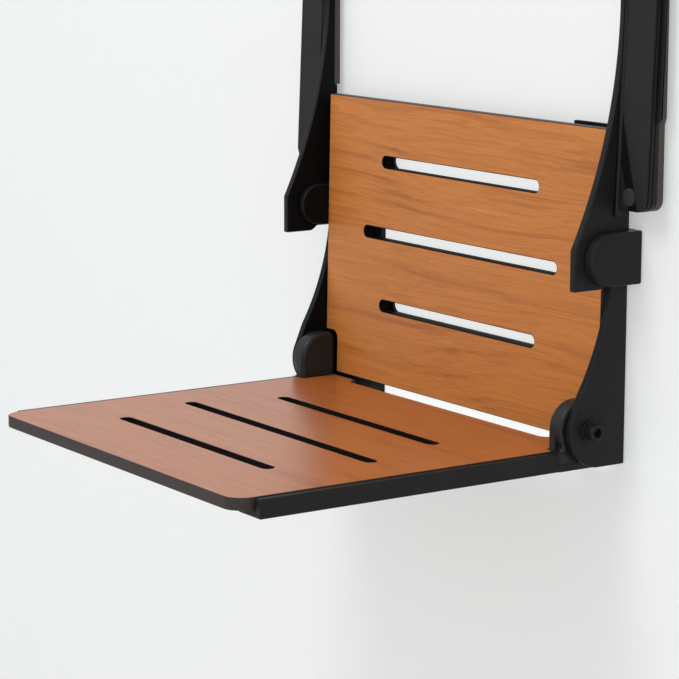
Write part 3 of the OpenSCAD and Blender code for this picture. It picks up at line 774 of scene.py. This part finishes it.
def buildArmCore():
    s = armShape
    x0, x1 = s["webOut"], s["webOut"] + s["plateWidth"]
    gap = s["plateThick"] + s["groove"] + s["lipThick"]
    bm = slab(steppedOutline(x0, x0, x1, 0.0, s["stepWidth"]), -s["padFront"],
              -s["face"] - gap - s["groove"], frontOn, 0)
    for vert in bm.verts:
        if vert.co.y < s["padFront"] - 1.0:
            vert.co.y += armFaceY(vert.co.z) - s["face"]
        else:
            vert.co.y = padFrontY(vert.co.z)
    roundEdges(bm, 0.9, 3)
    neck = slab(armOutline(x0, x1 - s["grooveDeep"], s["grooveDeep"], s["top"] - s["low"] - s["grooveDeep"],
                           s["corner"] - 1), -gap - s["groove"] - 0.2, -gap + 0.1, frontOn, 0)
    joinInto(bm, onArmFace(neck))
    return bm


bothSides("armCore", buildArmCore, [blackPlastic], armBodies, ["arm_core"])


def buildArmPad():
    s = armShape
    bm = slab(steppedOutline(s["webIn"], s["webOut"], s["webOut"] + s["plateWidth"], 0.1, s["padStep"]),
              -s["padBack"], -s["padFront"], frontOn, 0)
    for vert in bm.verts:
        if vert.co.y < s["padBack"] - 1.0:
            vert.co.y = padFrontY(vert.co.z) + 0.05
    back = [e for e in bm.edges if e.calc_face_angle(0.0) > sharp
            and all(abs(v.co.y - s["padBack"]) < 0.01 for v in e.verts)]
    bevelEdges(bm, back, 1.6, 5)
    roundEdges(bm, 0.5, 2, math.radians(40))
    return bm


bothSides("armPad", buildArmPad, [padRubber], armBodies, ["arm_pad"])


def buildArmCap():
    s = armShape
    r, h = s["capRadius"], s["capHeight"]
    dome = [(h * math.cos(math.radians(a)) ** 0.7, r * math.sin(math.radians(a)))
            for a in range(84, -1, -12)]
    bm = turnedPart([(-2.6, 0), (-2.6, r), (0.1, r)] + dome, (0, 0), 48)
    bmesh.ops.rotate(bm, verts=bm.verts, cent=(0, 0, 0), matrix=Matrix.Rotation(math.radians(-90), 3, "Z"))
    bmesh.ops.translate(bm, verts=bm.verts, vec=(s["capX"], 0, s["capRise"] - s["low"]))
    return onArmFace(bm)


bothSides("armCap", buildArmCap, [capPlastic], armBodies, ["arm_cap"])
print("arms built")

# carried-over parts

slotMaterials = {"laminate": backWood, "black_metal": blackCoat, "bolt_metal": boltBlack,
                 "screw_steel": plainSteel, "black_plastic": blackPlastic, "pad_rubber": padRubber,
                 "bearing_plastic": bushPlastic}
slotOf = {part["node"]: part["material_slot"] for part in frame["record"]["subparts"]}
for name, node in frame["nodes"].items():
    # painted shade: the pivot pins take the deeper black of the shade coat
    material = paintedShadeCoat if name.startswith("pivot_pin") else slotMaterials[slotOf[name]]
    if not node.material_slots:
        node.data.materials.append(material)
    for holder in node.material_slots:
        holder.material = material
print("carried-over parts finished")

# stage, light and camera

stage = {"wallColor": (0.90, 0.915, 0.915), "wallShade": 0.48, "wallGlow": 0.40, "backGlow": 0.78,
         "floorColor": (0.86, 0.86, 0.85), "floorZ": -0.82, "world": 0.80}


def flatSheet(name, matrix, size, color, wall):
    bm = bmesh.new()
    bmesh.ops.create_grid(bm, x_segments=1, y_segments=1, size=size, matrix=matrix)
    mesh = bpy.data.meshes.new(name)
    bm.to_mesh(mesh)
    bm.free()
    sheet = bpy.data.objects.new(name, mesh)
    bpy.context.scene.collection.objects.link(sheet)
    material, tree, shader, where = newMaterial(name)
    shader.inputs["Base Color"].default_value = (*color, 1)
    shader.inputs["Roughness"].default_value = 0.9
    if wall:
        shader.inputs["Base Color"].default_value = (*[c * stage["wallShade"] for c in color], 1)
        shader.inputs["Emission Color"].default_value = (*color, 1)
        # the strip behind the backrest is lit a little more, as it shows through the slots
        parts = addNode(tree, "ShaderNodeSeparateXYZ", [(0, where)])
        side = addNode(tree, "ShaderNodeMath", [(0, parts.outputs["X"])], operation="ABSOLUTE")
        across = addNode(tree, "ShaderNodeMapRange", [("Value", side.outputs[0]), ("From Min", 0.235),
                                                      ("From Max", 0.215)])
        over = addNode(tree, "ShaderNodeMapRange", [("Value", parts.outputs["Z"]), ("From Min", 0.158),
                                                    ("From Max", 0.13)])
        under = addNode(tree, "ShaderNodeMapRange", [("Value", parts.outputs["Z"]), ("From Min", -0.185),
                                                     ("From Max", -0.165)])
        band = addNode(tree, "ShaderNodeMath", [(0, over.outputs[0]), (1, under.outputs[0])],
                       operation="MULTIPLY")
        patch = addNode(tree, "ShaderNodeMath", [(0, band.outputs[0]), (1, across.outputs[0])],
                        operation="MULTIPLY")
        glow = addNode(tree, "ShaderNodeMapRange", [("Value", patch.outputs[0]),
                                                    ("To Min", stage["wallGlow"]),
                                                    ("To Max", stage["backGlow"])])
        tree.links.new(glow.outputs[0], shader.inputs["Emission Strength"])
        # seen only from its front, so that the bracket's back can be looked at too
        clear = tree.nodes.new("ShaderNodeBsdfTransparent")
        path = tree.nodes.new("ShaderNodeLightPath")
        facing = tree.nodes.new("ShaderNodeNewGeometry")
        front = addNode(tree, "ShaderNodeMath", [
            (0, path.outputs["Is Camera Ray"]), (1, facing.outputs["Backfacing"])], operation="SUBTRACT",
            use_clamp=True)
        mix = addNode(tree, "ShaderNodeMixShader", [(0, front.outputs[0]), (1, clear.outputs[0]),
                                                    (2, shader.outputs[0])])
        output = [n for n in tree.nodes if n.type == "OUTPUT_MATERIAL"][0]
        tree.links.new(mix.outputs[0], output.inputs["Surface"])
    mesh.materials.append(material)
    return sheet


flatSheet("studioWall", Matrix.Translation((0, 0.0012, 1.0)) @ Matrix.Rotation(math.radians(90), 4, "X"),
          6.0, stage["wallColor"], True)
flatSheet("studioFloor", Matrix.Translation((0, 0, stage["floorZ"])), 8.0, stage["floorColor"], False)

world = bpy.data.worlds.new("studio")
bpy.context.scene.world = world
world.use_nodes = True
world.node_tree.nodes["Background"].inputs["Color"].default_value = (1, 1, 1, 1)
world.node_tree.nodes["Background"].inputs["Strength"].default_value = stage["world"]

lamps = {
    "key": {"place": (-0.3, -2.7, 3.0), "aim": (0, -0.2, 0.0), "size": 1.6, "power": 72.0},
    "fill": {"place": (2.6, -2.4, 0.4), "aim": (0, -0.2, 0.0), "size": 2.0, "power": 14.0},
}
for name, s in lamps.items():
    data = bpy.data.lights.new(name, "AREA")
    data.size = s["size"]
    data.energy = s["power"]
    lamp = bpy.data.objects.new(name, data)
    bpy.context.scene.collection.objects.link(lamp)
    lamp.location = s["place"]
    lamp.rotation_euler = (Vector(s["aim"]) - Vector(s["place"])).to_track_quat("-Z", "Y").to_euler()

view = {"place": (2.178, -1.648, 0.407), "yaw": 55.85, "pitch": 10.16, "roll": 0.164, "lens": 139.87}
yaw, pitch, roll = (math.radians(view[k]) for k in ("yaw", "pitch", "roll"))
ahead = Vector((-math.sin(yaw) * math.cos(pitch), math.cos(yaw) * math.cos(pitch), -math.sin(pitch)))
right = Vector((math.cos(yaw), math.sin(yaw), 0))
up = right.cross(ahead)
camRight = math.cos(roll) * right + math.sin(roll) * up
camUp = -math.sin(roll) * right + math.cos(roll) * up
cameraData = bpy.data.cameras.new("camera")
cameraData.sensor_width = 36.0
cameraData.lens = view["lens"]
camera = bpy.data.objects.new("camera", cameraData)
bpy.context.scene.collection.objects.link(camera)
camera.matrix_world = Matrix(((camRight.x, camUp.x, -ahead.x, view["place"][0]),
                              (camRight.y, camUp.y, -ahead.y, view["place"][1]),
                              (camRight.z, camUp.z, -ahead.z, view["place"][2]), (0, 0, 0, 1)))
bpy.context.scene.camera = camera
bpy.context.scene.view_settings.view_transform = "Standard"
print("stage, light and camera set")

bpy.context.view_layer.update()
